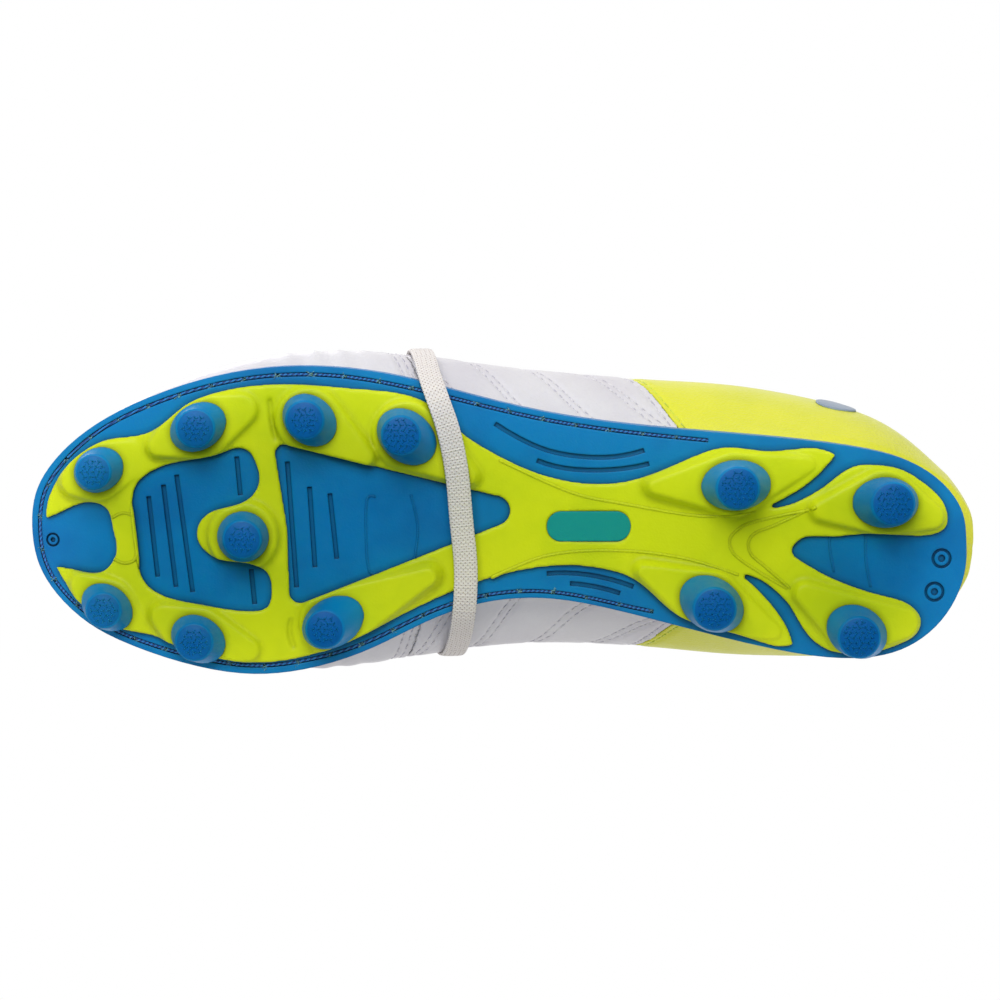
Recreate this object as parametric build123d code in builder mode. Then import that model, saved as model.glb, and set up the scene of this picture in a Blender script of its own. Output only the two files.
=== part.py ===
from build123d import *

import math
import os

# Soccer cleat for a left foot, with a moulded firm-ground sole, adult size, in millimetres.
# +Z is up with the stud tips at z = 0, the toe points to -X and the heel to +X, the outer
# (lateral) side faces -Y and the inner (medial) side +Y.

# ---------------------------------------------------------------- driving dimensions
PLATE_FLOOR = 3.5  # outsole plate under the foot
RIM_HEIGHT = 8.0  # top of the plate's cup wall, above its underside
WEB_THICK = 1.4  # coloured web bonded under the plate
PAD_RISE = 2.0  # how far a stud's pad stands below the web
PAD_SPREAD = 2.2  # extra radius where a pad meets the plate
PEG_RADIUS = 4.0  # each stud's peg, through the web to the plate
STUD_ROUND = 0.7
BAR_WIDTH = 1.4  # sunken bars of the plate and the web
BAR_DEPTH = 0.8
CHANNEL_WIDTH = 1.2
CHANNEL_DEPTH = 1.0
THREAD_RADIUS = 0.4
THREAD_GAP = 0.08  # between the thread and the channel's floor
STITCH_LENGTH = 9.0
STITCH_PITCH = 10.0
GATE_RING, GATE_DOT = 0.72, 0.36  # inner edge of a moulding mark's ring and its dot, as shares
BADGE_SIZE = (25.0, 9.0)
BADGE_ROUND = 4.4
BADGE_PLACE = (26.5, 2.2)
BADGE_THICK = 0.8
SKIN = 1.4  # outer skin of the upper
BACKING = 1.6  # toe puff, vamp backing, collar foam or heel counter
LINING = 1.0
WALL = SKIN + BACKING + LINING
BOARD_THICK = 1.6
SOCKLINER_THICK = 3.4
SOCKLINER_GAP = 1.0  # free space round the sockliner's edge
SOCKLINER_HEEL_GAP = 4.0
SEAT_GAP = 0.3  # under the sockliner and between lace layers
EYESTAY_THICK = 1.2
EYESTAY_MARGIN = 13.0
THROAT_FRONT, THROAT_FRONT_HALF = -42.0, 7.5
THROAT_BACK, THROAT_BACK_HALF = 70.0, 17.5
THROAT_ROUND = 7.1
EYELET_RADIUS = 2.3
LACE_PEG_RADIUS = 2.1  # the lace inside an eyelet
EYELET_INSET = 5.5  # from the throat's edge
EYELET_ROWS = [-31.0, -18.5, -6.0, 6.5, 19.0, 31.5]
TONGUE_FACE = 1.2
TONGUE_PADDING = 4.0
TONGUE_HALF_WIDTH = 25.0
TONGUE_FRONT, TONGUE_BACK = -46.0, 54.0
TONGUE_ROUND = 12.0
CREST_Y = 3.4  # middle of the throat
HEEL_MIDDLE = 9.5  # y of the centre-back seam
LACE_WIDTH = 7.0
LACE_THICK = 1.3
KNOT_SIZE = (12.0, 14.0, 5.0)
KNOT_ROUND = 2.0
PATCH_THICK = 0.6
TALL = 150.0  # taller than anything in the boot
STUD_REACH = 40.0  # deeper than any stud
CUT_MARGIN = 1.0  # how far a sunken cut starts outside the face
BISECTIONS = 24
INSTEP_FOOT = 40.0  # cuts over the instep start at this height
HALF_SPAN = 80.0  # wider than half the boot

# Underside of the plate along the boot: toe spring, ball, raised shank, heel.
TREAD = [
    (-150, 24.5), (-136, 20), (-120, 16.5), (-95, 13), (-65, 12), (-35, 13),
    (0, 16.5), (35, 18), (65, 16), (95, 14), (125, 13.5), (150, 15),
]  # fmt: skip

# Edge of the plate seen from above, from the heel along the medial side to the toe and back.
OUTLINE = [
    (139, 8.5), (138, 18), (130.5, 31.5), (119.5, 39), (103, 41.5), (82.5, 39), (58.5, 33.5),
    (34.5, 27.5), (14.5, 24), (-1.5, 24.5), (-19.5, 29.5), (-37.5, 38), (-55.5, 44),
    (-73.5, 46), (-91.5, 43.5), (-109.5, 38), (-121.5, 32.5), (-131, 25), (-138.5, 14),
    (-140.5, 3), (-139, -8), (-133.5, -17), (-121.5, -27.5), (-104, -36.5), (-85.5, -42.5),
    (-67, -45.5), (-49.5, -45.5), (-31, -43), (-13.5, -38.5), (10.5, -32.5), (40.5, -28),
    (76.5, -25), (106.5, -21.5), (121.5, -17.5), (131.5, -11), (138, -1),
]  # fmt: skip

# Middle of the stitch channel, from the lateral shank round the toe to the medial shank.
STITCH_LINE = [
    (62, -23.5), (41.5, -25.5), (11.5, -30), (-11.5, -35.5), (-32.5, -40.5), (-49.5, -43),
    (-67, -43), (-85.5, -40), (-104, -34), (-120.5, -25.5), (-131.5, -15.5), (-136.5, -7.5),
    (-138, 3), (-136.5, 13), (-129.5, 23.5), (-120.5, 30.5), (-108.5, 36), (-91, 41),
    (-73.5, 43.5), (-56, 41.5), (-38.5, 36), (-20.5, 27.5), (-2, 22.5), (14.5, 22),
    (34, 25.5), (46, 28),
]  # fmt: skip

# Edge of the web: smooth runs that meet at its sharp tips.
WEB_EDGES = {
    "toe window": [
        (-136, 0), (-128, -3.5), (-121, -5), (-117, -3), (-115.5, 2), (-114.5, 10),
        (-118.5, 15.5), (-126, 15.5), (-133, 14.5),
    ],
    "medial edge": [
        (-133, 14.5), (-130, 19.5), (-124, 26), (-115, 32), (-104, 34.5), (-93, 38.5),
        (-84, 41), (-72, 42.5), (-62, 41.5), (-52.5, 39), (-31.5, 29.5), (-13, 21),
        (5.5, 15.5), (20, 14), (30.5, 15), (41.5, 19), (52, 28), (60, 31.5), (73, 35),
        (84, 38), (87.5, 37.5),
    ],
    "medial wing": [(87.5, 37.5), (86.5, 34), (83, 28), (78.5, 22.5), (71, 16)],
    "heel pads": [
        (71, 16), (77.5, 18), (82.5, 21.5), (86.5, 26), (91.5, 34), (98, 39), (105, 40),
        (112, 39.5), (119.5, 37), (124.5, 33.5), (125.5, 30), (123, 26), (114, 22.5),
        (101.5, 18.5), (90, 12.5), (87, 9.5), (89, 6), (96, 5), (110, 4), (120, 4.5),
        (127.5, 4.5), (132.5, 2), (132.5, -3.5), (126, -11), (119.5, -15), (112, -16.5),
        (105, -16), (97.5, -11), (89.5, -6), (78.5, -3.5),
    ],
    "lateral wing": [(78.5, -3.5), (86.5, -7.5), (94, -13), (99.5, -19.5)],
    "lateral edge": [
        (99.5, -19.5), (96, -21), (80, -20.5), (66.5, -21.5), (57, -18.5), (48, -14.5),
        (39, -11.5), (28, -10.5), (17, -12), (5.5, -16), (-4, -21), (-12, -26.5),
        (-17, -31.5), (-24, -36), (-41, -39), (-62.5, -40.5), (-77, -39.5), (-85.5, -37.5),
        (-92.5, -34.5), (-100, -28.5), (-106, -25.5), (-116, -24), (-123.5, -20.5),
        (-130.5, -14), (-134.5, -7.5), (-136, 0),
    ],
}  # fmt: skip

# C-shaped forefoot window, round the island of the centre stud.
BALL_WINDOW = [
    (-80, -21), (-92, -18), (-103.5, -14.5), (-108, -10.5), (-109, 0), (-108, 10),
    (-105.5, 19), (-101.5, 22), (-89.5, 25), (-75, 27), (-69, 25.5), (-68, 21.5),
    (-69, 16), (-73, 13), (-79.5, 12), (-86.5, 10), (-90, 5), (-88, -1),
    (-81, -4), (-74.5, -6.5), (-71.5, -11), (-72.5, -17.5), (-75, -21),
]  # fmt: skip
SHANK_WINDOW = [(-67, -23.5), (-63, 3), (-62.5, 26), (13, -3.5)]
SHANK_WINDOW_ROUNDS = [2.6, 30.0, 3.2, 4.4]

WINDOW_BARS = [
    ((-104.5, -7), (-102, 17)), ((-100, -10.5), (-96.5, 20)), ((-96, -13.5), (-91.5, 21.5)),
    ((-78, -19), (-77, -7.5)), ((-74, 14.5), (-73, 25)), ((-63, -17.5), (-60.5, 20)),
    ((-56.5, -10), (-55, 14)), ((-50.5, -8), (-48.5, 11.5)),
]  # fmt: skip
ARCH_BARS = [
    [(-1.5, -28.5), (5, -24.5), (14, -20.5), (25, -18.5), (34, -18.5), (43, -20.5)],
    [(11, -17.5), (20, -15), (28.5, -14.5), (37, -15), (44.5, -16.5)],
    [(14, 16.5), (23, 16.5), (32, 18), (40, 20.5)],
    [(21, 19.5), (28.5, 20.5), (36, 22.5)],
]
WEB_SLOTS = [
    [(-68, -36.5), (-67.5, -30), (-66, -24)],
    [(-62, 29), (-62.5, 34), (-61, 38)],
]
# Round moulding marks of the plate: centre and radius.
GATE_MARKS = [(-134, 6.5, 2.1), (131.5, 11.5, 3.0), (129.5, 21.5, 3.0)]

# Studs: tip centre, tip radius and height, base centre, the base's half axes and turn in
# degrees, then the circles (x, y, radius) whose hull is the pad round it.
STUDS = {
    "toe_lateral": ((-119.5, -15), 5.3, 4.6, (-119, -15), (7.8, 6.6), -30,
                    [(-119.5, -14.5, 8.4), (-110.5, -18, 5.5), (-126, -11.5, 4)]),
    "front_lateral": ((-89, -28), 5.7, 1.3, (-89, -28), (9, 6.9), -31,
                      [(-88.5, -28, 9.2), (-76.5, -33, 4.5), (-101, -22, 2.5)]),
    "ball_lateral": ((-57, -30.5), 5.7, 0, (-56, -30), (8.8, 7.2), 41,
                     [(-56.5, -30, 9.3), (-40, -19, 2.4)]),
    "rear_lateral": ((-29, -26), 5.8, 0, (-27.5, -25), (9.8, 7.6), 40,
                     [(-27.5, -25.5, 9.9), (-9.5, -13, 2)]),
    "centre": ((-75.5, 4.5), 5.7, 0.4, (-76, 4.5), (7.8, 7.7), 0, [(-76, 4.5, 10)]),
    "toe_medial": ((-117, 26), 5.3, 4.6, (-117, 26), (8.4, 6.6), 38,
                   [(-117, 26, 8.2), (-124, 19.5, 3.4), (-107.5, 31.5, 2.6)]),
    "front_medial": ((-90, 35), 5.6, 1.3, (-89.5, 35), (8.7, 6.9), 31,
                     [(-89.5, 34.5, 8.6), (-100, 28.5, 3.4), (-75, 38.5, 3.2)]),
    "ball_medial": ((-51.5, 31), 5.7, 0, (-49.5, 30), (9.9, 7.4), -31,
                    [(-50, 30, 9.1), (-21.5, 16.5, 2.4)]),
    "heel_front_lateral": ((69.5, -10.5), 6.4, 0, (70, -10.5), (10.5, 7.6), -4,
                           [(69.5, -11, 9.2), (46, -10, 1.8), (91, -16.5, 2.2)]),
    "heel_front_medial": ((63, 25), 6.4, 0, (63, 25), (10.4, 8), 33,
                          [(63, 25, 9.2), (43, 15.5, 1.8), (81.5, 33.5, 2.2)]),
    "heel_rear_lateral": ((115, -6), 6.4, 0, (114, -5.5), (9.9, 7.6), 0,
                          [(114, -5.5, 9.4), (95.5, -3, 2.6), (128, -1, 3.2)]),
    "heel_rear_medial": ((105.5, 33.5), 6.3, 0, (106, 33), (9.6, 7.8), 30,
                         [(106, 31.5, 8.2), (91, 22, 3), (119.5, 30.5, 4.6)]),
}  # fmt: skip

# Cross-sections of the upper's outer face: x, lateral and medial edge at the floor, lateral
# and medial bulge, then the crest's y and z and the arch's squareness.
SECTIONS = [
    (-137.5, -0.5, 8, -1, 8.5, 3.5, 32.5, 2.2),
    (-135.5, -6.5, 13, -7, 14, 3.5, 38.5, 2.2),
    (-130, -15, 21, -17, 23, 3.5, 44.5, 2.2),
    (-120, -25, 29.5, -28, 32, 3.5, 49.5, 2.2),
    (-104, -33, 35, -37.5, 39.5, 3, 53.5, 2.2),
    (-82, -39.5, 41, -45, 45.5, 2, 57.5, 2.2),
    (-58, -42, 40, -49, 47, 1, 63, 2.15),
    (-32, -40, 31.5, -48.5, 44.5, 2, 72.5, 2.05),
    (-4, -33, 21, -44.5, 41, 3, 86, 2),
    (26, -26.5, 22.5, -41, 41, 5, 100.5, 2),
    (56, -23, 29.5, -38, 43.5, 7, 112, 2.4),
    (86, -20.5, 36, -34.5, 45.5, 8.5, 116, 2.8),
    (110, -16.5, 37, -29.5, 43.5, 9.5, 116, 2.8),
    (125, -10, 31, -22, 37, 9.5, 116, 2.8),
    (133.5, -2, 22.5, -12, 28.5, 9.5, 115, 2.8),
    (137.5, 5, 14, -0.5, 18.5, 9.5, 114, 2.8),
]
FORM_HALF_LENGTH = 138.0
RIM_SHARE = 0.2  # share of the bulge that is already reached at the rim's top
BULGE_SHARE = 0.3  # height of the widest line, as a share of the section's height
ARCH_TURNS = (30, 60)  # degrees round the arch, between the widest line and the crest
HEEL_LEAN = 0.085  # forward lean of the heel, per millimetre of height
LEAN_FROM, LEAN_TO = 60.0, 125.0
TIP_SHARE = 0.6  # most of a small end section that an inset may take away
ROOT = 3.0  # how far each form runs down past the plate's floor

# Side-view lines (x, z) that cut the upper into its panels and openings.
TOPLINE = [
    (34, 104.5), (46, 98.5), (60, 88), (78, 79.5), (96, 77), (112, 80.5), (124, 88),
    (133, 93.5), (150, 95),
]  # fmt: skip
VAMP_SEAM = [(-19, 10), (-24, 24), (-33, 45), (-42, 62), (-48, 90)]
HEEL_SEAM = [(58, 10), (54, 26), (45, 44), (37, 62), (31, 84), (27, 110)]
COUNTER_FRONT = [(80, 10), (86, 40), (88, 52)]
COUNTER_TOP = [(86, 40), (100, 58), (120, 64), (150, 65)]
PUFF_BACK = [(-98, 10), (-106, 40), (-112, 70)]
PATCH = [(98, 47), (100.5, 54.5), (107, 57), (110.5, 51), (105, 44.5)]

# The lace's route once round the boot, from the instep down the lateral side, under the arch
# and up the medial side.
WRAP_ROUTE = [
    (-30, 1, 78.6), (-30, -11, 77.2), (-29, -24, 72.2), (-27.5, -36.5, 63.4), (-26, -46, 50.8),
    (-24.5, -50.4, 37), (-22.5, -47.6, 25.5), (-21, -43, 16), (-19, -38, 10), (-15, -27, 9.1),
    (-12.5, -14, 9.2), (-11.5, 0, 10.2), (-10, 13, 10.6), (-10.3, 24, 11.4), (-11, 30.2, 15),
    (-12, 36.8, 23.5), (-14.5, 44.6, 37), (-17.5, 43.2, 49.5), (-21.5, 38, 61.5),
    (-26, 28.6, 70.8), (-29, 16, 76.6), (-30, 7, 78.4),
]  # fmt: skip
WRAP_MIDDLE = (0.0, 42.0)  # y and z that the route goes round
WRAP_STATIONS = 72


# ---------------------------------------------------------------- shared shapes
tread_curve = Spline(*TREAD)


def tread_z(x):
    """Height of the plate's underside at x, by bisection along the tread curve."""
    low, high = 0.0, 1.0
    for _ in range(BISECTIONS):
        middle = (low + high) / 2
        if (tread_curve @ middle).X < x:
            low = middle
        else:
            high = middle
    return (tread_curve @ low).Y


def slab(low, high):
    """Everything between two copies of the tread curve, raised by low and by high."""
    with BuildPart() as made:
        with BuildSketch(Plane.XZ):
            with BuildLine():
                lower = Spline(*[(x, z + low) for x, z in TREAD])
                upper = Spline(*[(x, z + high) for x, z in TREAD])
                Line(lower @ 0, upper @ 0)
                Line(lower @ 1, upper @ 1)
            make_face()
        extrude(amount=HALF_SPAN, both=True)
    return made.part


def behind(points):
    """Everything on the heel side of a side-view seam that runs upwards."""
    far = 2 * TALL
    with BuildPart() as made:
        with BuildSketch(Plane.XZ):
            with BuildLine():
                seam = Spline(*points)
                Polyline(seam @ 1, (points[-1][0], far), (far, far), (far, 0),
                         (points[0][0], 0), seam @ 0)
            make_face()
        extrude(amount=HALF_SPAN, both=True)
    return made.part


def above(points):
    """Everything above a side-view line that runs towards the heel."""
    with BuildPart() as made:
        with BuildSketch(Plane.XZ):
            with BuildLine():
                line = Spline(*points)
                Polyline(line @ 1, (points[-1][0], TALL), (points[0][0], TALL), line @ 0)
            make_face()
        extrude(amount=HALF_SPAN, both=True)
    return made.part


def half(side):
    """Everything on one side of the throat's middle: -1 lateral, 1 medial."""
    with BuildPart() as made:
        with BuildSketch():
            with Locations((0, CREST_Y + side * HALF_SPAN / 2)):
                Rectangle(4 * HALF_SPAN, HALF_SPAN)
        extrude(amount=TALL)
    return made.part


def prism(plan, bottom=0.0):
    """A plan-view sketch drawn out from bottom to past the boot's top."""
    with BuildPart() as made:
        with BuildSketch(Plane.XY.offset(bottom)):
            add(plan)
        extrude(amount=TALL)
    return made.part


def band_plan(paths, width):
    """Plan of bands of one width along smooth or straight paths."""
    with BuildSketch() as made:
        for points in paths:
            with BuildLine() as path:
                if len(points) == 2:
                    Line(*points)
                else:
                    Spline(*points)
            trace(path.edges(), line_width=width)
    return made.sketch


def plate_plan():
    """Plan of the plate's edge."""
    with BuildSketch() as made:
        with BuildLine():
            Spline(*OUTLINE, periodic=True)
        make_face()
    return made.sketch


def section_wire(row, inset):
    """One cross-section of the upper, drawn in by inset."""
    x, base_l, base_m, bulge_l, bulge_m, crest_y, crest_z, square = row
    x = x * (1 - inset / FORM_HALF_LENGTH)
    share = min(max((x - LEAN_FROM) / (LEAN_TO - LEAN_FROM), 0), 1)
    lean = HEEL_LEAN * share * share * (3 - 2 * share)
    floor = tread_z(x) + PLATE_FLOOR
    crest = crest_z - min(inset, TIP_SHARE * (crest_z - floor))
    side_inset = min(inset, TIP_SHARE * (base_m - base_l) / 2)
    widest = floor + BULGE_SHARE * (crest - floor)
    rim_top = floor + min(RIM_HEIGHT - PLATE_FLOOR, (widest - floor) / 2)

    def rise(base, bulge, side):
        base, bulge = base - side * side_inset, bulge - side * side_inset
        points = [(base, floor - ROOT), (base + RIM_SHARE * (bulge - base), rim_top), (bulge, widest)]
        for turn in ARCH_TURNS:
            across = math.cos(math.radians(turn)) ** (2 / square)
            up = math.sin(math.radians(turn)) ** (2 / square)
            points.append((crest_y + (bulge - crest_y) * across, widest + (crest - widest) * up))
        return points

    around = rise(base_l, bulge_l, -1) + [(crest_y, crest)] + rise(base_m, bulge_m, 1)[::-1]
    spots = [Vector(x - lean * (z - floor), y, z) for y, z in around]
    return Wire([Edge.make_spline(spots), Edge.make_line(spots[-1], spots[0])])


def form(inset):
    """Solid of the upper's outer form, drawn in by inset."""
    with BuildPart() as made:
        loft([Face(section_wire(row, inset)) for row in SECTIONS])
    return made.part


over_floor = slab(PLATE_FLOOR, TALL)
outer_form = form(0)
under_skin = form(SKIN)
under_backing = form(SKIN + BACKING)
foot_form = form(WALL)
over_topline = above(TOPLINE)
rear_half = behind(HEEL_SEAM)
behind_vamp = behind(VAMP_SEAM)


# ---------------------------------------------------------------- outsole plate
def marks_plan():
    """Plan of the plate's sunken bars and round moulding marks."""
    with BuildSketch() as made:
        add(band_plan(WINDOW_BARS + ARCH_BARS, BAR_WIDTH))
        for x, y, radius in GATE_MARKS:
            with Locations((x, y)):
                Circle(radius)
                Circle(radius * GATE_RING, mode=Mode.SUBTRACT)
                Circle(radius * GATE_DOT)
    return made.sketch


def sunk(plan, depth, face=0.0):
    """A cut of one depth into an underside that lies face above the plate's."""
    with BuildPart() as made:
        add(prism(plan))
        add(slab(face - CUT_MARGIN, face + depth), mode=Mode.INTERSECT)
    return made.part


with BuildPart() as cup_hollow:
    add(outer_form)
    add(over_floor, mode=Mode.INTERSECT)

with BuildPart() as outsole_plate:
    add(prism(plate_plan()))
    add(slab(0, RIM_HEIGHT), mode=Mode.INTERSECT)
    add(cup_hollow.part, mode=Mode.SUBTRACT)
    add(sunk(marks_plan(), BAR_DEPTH), mode=Mode.SUBTRACT)
    add(sunk(band_plan([STITCH_LINE], CHANNEL_WIDTH), CHANNEL_DEPTH), mode=Mode.SUBTRACT)

# ---------------------------------------------------------------- sole stitching
def stitch_spots(start, stop):
    """Three points of one stitch, from one distance to another along the channel."""
    spots = []
    for distance in (start, (start + stop) / 2, stop):
        spot = channel_line.position_at(distance / channel_line.length)
        spots.append((spot.X, spot.Y, tread_z(spot.X) + CHANNEL_DEPTH - THREAD_GAP - THREAD_RADIUS))
    return spots


channel_line = Spline(*STITCH_LINE)
stitch_count = int(channel_line.length // STITCH_PITCH)
with BuildPart() as sole_stitching:
    for index in range(stitch_count):
        stitch = stitch_spots(index * STITCH_PITCH, index * STITCH_PITCH + STITCH_LENGTH)
        with BuildLine() as thread:
            ThreePointArc(*stitch)
        with BuildSketch(Plane(thread.line @ 0, z_dir=thread.line % 0)):
            Circle(THREAD_RADIUS)
        sweep(path=thread.line)

# ---------------------------------------------------------------- studs
def pad_z(base):
    """Height of the underside of the pad that a stud stands on."""
    return tread_z(base[0]) - WEB_THICK - PAD_RISE


def make_stud(tip, tip_radius, tip_z, base, half_axes, turn):
    """A leaning cone with a rounded tip, and the peg that fixes it through the web."""
    with BuildPart() as made:
        with BuildSketch(Plane.XY.offset(pad_z(base))):
            with Locations(Location((*base, 0), (0, 0, turn))):
                Ellipse(*half_axes)
        with BuildSketch(Plane.XY.offset(tip_z)):
            with Locations(tip):
                Circle(tip_radius)
        loft()
        fillet(made.edges().group_by(Axis.Z)[0], STUD_ROUND)
        with BuildSketch(Plane.XY.offset(pad_z(base))):
            with Locations(base):
                Circle(PEG_RADIUS)
        extrude(amount=2 * (WEB_THICK + PAD_RISE))
        add(below_plate, mode=Mode.INTERSECT)
    return made


below_plate = slab(-STUD_REACH, 0)
studs = {}
for stud_name, (tip, tip_radius, tip_z, base, half_axes, turn, _) in STUDS.items():
    studs["stud_" + stud_name] = make_stud(tip, tip_radius, tip_z, base, half_axes, turn)

# ---------------------------------------------------------------- web under the plate
def web_plan():
    """Plan of the web: its edge, without the ball and shank windows."""
    with BuildSketch() as made:
        with BuildLine():
            for points in WEB_EDGES.values():
                Spline(*points)
        make_face()
        with BuildLine():
            Spline(*BALL_WINDOW, periodic=True)
        make_face(mode=Mode.SUBTRACT)
        add(shank_window_plan(), mode=Mode.SUBTRACT)
    return made.sketch


def shank_window_plan():
    """Plan of the triangular window between the ball and the shank."""
    with BuildSketch() as made:
        with BuildLine():
            Polyline(*SHANK_WINDOW, close=True)
        make_face()
        for corner, radius in zip(SHANK_WINDOW, SHANK_WINDOW_ROUNDS):
            fillet(made.vertices().sort_by_distance((*corner, 0))[0], radius)
    return made.sketch


def pad_ring(circles, extra):
    """Hull of a pad's circles, widened by extra."""
    for x, y, radius in circles:
        with Locations((x, y)):
            Circle(radius + extra)
    if len(circles) > 1:
        make_hull()


def make_pad(base, circles):
    """A tapered pad from inside the plate down to the pad's face."""
    with BuildPart() as made:
        with BuildSketch(Plane.XY.offset(pad_z(base) + 2 * PAD_RISE)):
            pad_ring(circles, PAD_SPREAD)
        with BuildSketch(Plane.XY.offset(pad_z(base))):
            pad_ring(circles, 0)
        loft(ruled=True)
    return made.part


def badge_plan():
    """Plan of the plain inlay at the arch."""
    with BuildSketch() as made:
        with Locations(BADGE_PLACE):
            RectangleRounded(*BADGE_SIZE, BADGE_ROUND)
    return made.sketch


with BuildPart() as sole_web:
    add(slab(-WEB_THICK, 0))
    for _, _, _, stud_base, _, _, pad_circles in STUDS.values():
        add(make_pad(stud_base, pad_circles))
    add(prism(web_plan()), mode=Mode.INTERSECT)
    add(below_plate, mode=Mode.INTERSECT)
    for stud in studs.values():
        add(stud.part, mode=Mode.SUBTRACT)
    add(sunk(band_plan(WEB_SLOTS, BAR_WIDTH), BAR_DEPTH, -WEB_THICK), mode=Mode.SUBTRACT)
    add(sunk(badge_plan(), BADGE_THICK, -WEB_THICK), mode=Mode.SUBTRACT)

with BuildPart() as arch_badge:
    add(prism(badge_plan()))
    add(slab(-WEB_THICK, -WEB_THICK + BADGE_THICK), mode=Mode.INTERSECT)

# ---------------------------------------------------------------- insole board and sockliner
with BuildPart() as lasting_board:
    add(foot_form)
    add(slab(PLATE_FLOOR, PLATE_FLOOR + BOARD_THICK), mode=Mode.INTERSECT)

sockliner_foot = PLATE_FLOOR + BOARD_THICK + SEAT_GAP
with BuildPart() as heel_space:
    with BuildSketch():
        with Locations((FORM_HALF_LENGTH - WALL - SOCKLINER_HEEL_GAP, 0)):
            Rectangle(HALF_SPAN, 2 * HALF_SPAN, align=(Align.MIN, Align.CENTER))
    extrude(amount=TALL)
with BuildPart() as sockliner:
    add(form(WALL + SOCKLINER_GAP))
    add(slab(sockliner_foot, sockliner_foot + SOCKLINER_THICK), mode=Mode.INTERSECT)
    add(heel_space.part, mode=Mode.SUBTRACT)


# ---------------------------------------------------------------- throat and eyelets
def throat_half(x):
    """Half the throat's width at x."""
    share = (x - THROAT_FRONT) / (THROAT_BACK - THROAT_FRONT)
    return THROAT_FRONT_HALF + share * (THROAT_BACK_HALF - THROAT_FRONT_HALF)


def throat_plan(margin=0.0):
    """Plan of the throat's opening, widened by a margin."""
    with BuildSketch() as made:
        with BuildLine():
            Polyline((THROAT_FRONT, CREST_Y - THROAT_FRONT_HALF), (THROAT_BACK, CREST_Y - THROAT_BACK_HALF),
                     (THROAT_BACK, CREST_Y + THROAT_BACK_HALF), (THROAT_FRONT, CREST_Y + THROAT_FRONT_HALF),
                     close=True)
        make_face()
        fillet(made.vertices().group_by(Axis.X)[0], THROAT_ROUND)
        if margin:
            offset(amount=margin)
    return made.sketch


eyelets = [
    (x, CREST_Y + side * (throat_half(x) + EYELET_INSET)) for x in EYELET_ROWS for side in (-1, 1)
]


def eyelet_plan(radius):
    """Plan of circles at all eyelets."""
    with BuildSketch() as made:
        with Locations(*eyelets):
            Circle(radius)
    return made.sketch


throat_cut = prism(throat_plan(), INSTEP_FOOT)
eyelet_cut = prism(eyelet_plan(EYELET_RADIUS), INSTEP_FOOT)


# ---------------------------------------------------------------- layers of the upper
def make_layer(outer, inner):
    """One open layer of the upper between two forms, with its throat, collar and eyelets."""
    with BuildPart() as made:
        add(outer)
        add(inner, mode=Mode.SUBTRACT)
        add(over_floor, mode=Mode.INTERSECT)
        add(over_topline, mode=Mode.SUBTRACT)
        add(throat_cut, mode=Mode.SUBTRACT)
        add(eyelet_cut, mode=Mode.SUBTRACT)
    return made.part


skin = make_layer(outer_form, under_skin)
backing = make_layer(under_skin, under_backing)
lining = make_layer(under_backing, foot_form)

with BuildPart() as vamp:
    add(skin)
    add(behind_vamp, mode=Mode.SUBTRACT)

with BuildPart() as quarters:
    add(skin)
    add(behind_vamp, mode=Mode.INTERSECT)
    add(rear_half, mode=Mode.SUBTRACT)

with BuildPart() as heel_panels:
    add(skin)
    add(rear_half, mode=Mode.INTERSECT)


def one_side(panels, side):
    """The lateral or medial part of a pair of panels."""
    with BuildPart() as made:
        add(panels.part)
        add(half(side), mode=Mode.INTERSECT)
    return made


def heel_side(side):
    """One heel panel, cut at the centre-back seam, which lies over the heel's middle."""
    seam_edge = Align.MIN if side > 0 else Align.MAX
    with BuildPart() as made:
        add(heel_panels.part)
        with BuildSketch():
            with Locations((0, HEEL_MIDDLE)):
                Rectangle(4 * HALF_SPAN, HALF_SPAN, align=(Align.CENTER, seam_edge))
        extrude(amount=TALL, mode=Mode.INTERSECT)
    return made


quarter_lateral = one_side(quarters, -1)
quarter_medial = one_side(quarters, 1)
heel_panel_lateral = heel_side(-1)
heel_panel_medial = heel_side(1)

with BuildPart() as toe_puff:
    add(backing)
    add(behind(PUFF_BACK), mode=Mode.SUBTRACT)

with BuildPart() as heel_counter:
    add(backing)
    add(behind(COUNTER_FRONT), mode=Mode.INTERSECT)
    add(above(COUNTER_TOP), mode=Mode.SUBTRACT)

with BuildPart() as collar_foam:
    add(backing)
    add(rear_half, mode=Mode.INTERSECT)
    add(heel_counter.part, mode=Mode.SUBTRACT)

with BuildPart() as vamp_backing:
    add(backing)
    add(behind(PUFF_BACK), mode=Mode.INTERSECT)
    add(rear_half, mode=Mode.SUBTRACT)

with BuildPart() as vamp_lining:
    add(lining)
    add(rear_half, mode=Mode.SUBTRACT)

with BuildPart() as heel_lining:
    add(lining)
    add(rear_half, mode=Mode.INTERSECT)

# ---------------------------------------------------------------- eyestays, tongue and patch
eyestay_form = form(-EYESTAY_THICK)
with BuildPart() as eyestay:
    add(eyestay_form)
    add(outer_form, mode=Mode.SUBTRACT)
    add(prism(throat_plan(EYESTAY_MARGIN), INSTEP_FOOT), mode=Mode.INTERSECT)
    add(throat_cut, mode=Mode.SUBTRACT)
    add(over_topline, mode=Mode.SUBTRACT)
    add(eyelet_cut, mode=Mode.SUBTRACT)
eyestay_lateral = one_side(eyestay, -1)
eyestay_medial = one_side(eyestay, 1)


def tongue_plan():
    """Plan of the tongue."""
    with BuildSketch() as made:
        with Locations(((TONGUE_FRONT + TONGUE_BACK) / 2, CREST_Y)):
            RectangleRounded(TONGUE_BACK - TONGUE_FRONT, 2 * TONGUE_HALF_WIDTH, TONGUE_ROUND)
    return made.sketch


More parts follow.
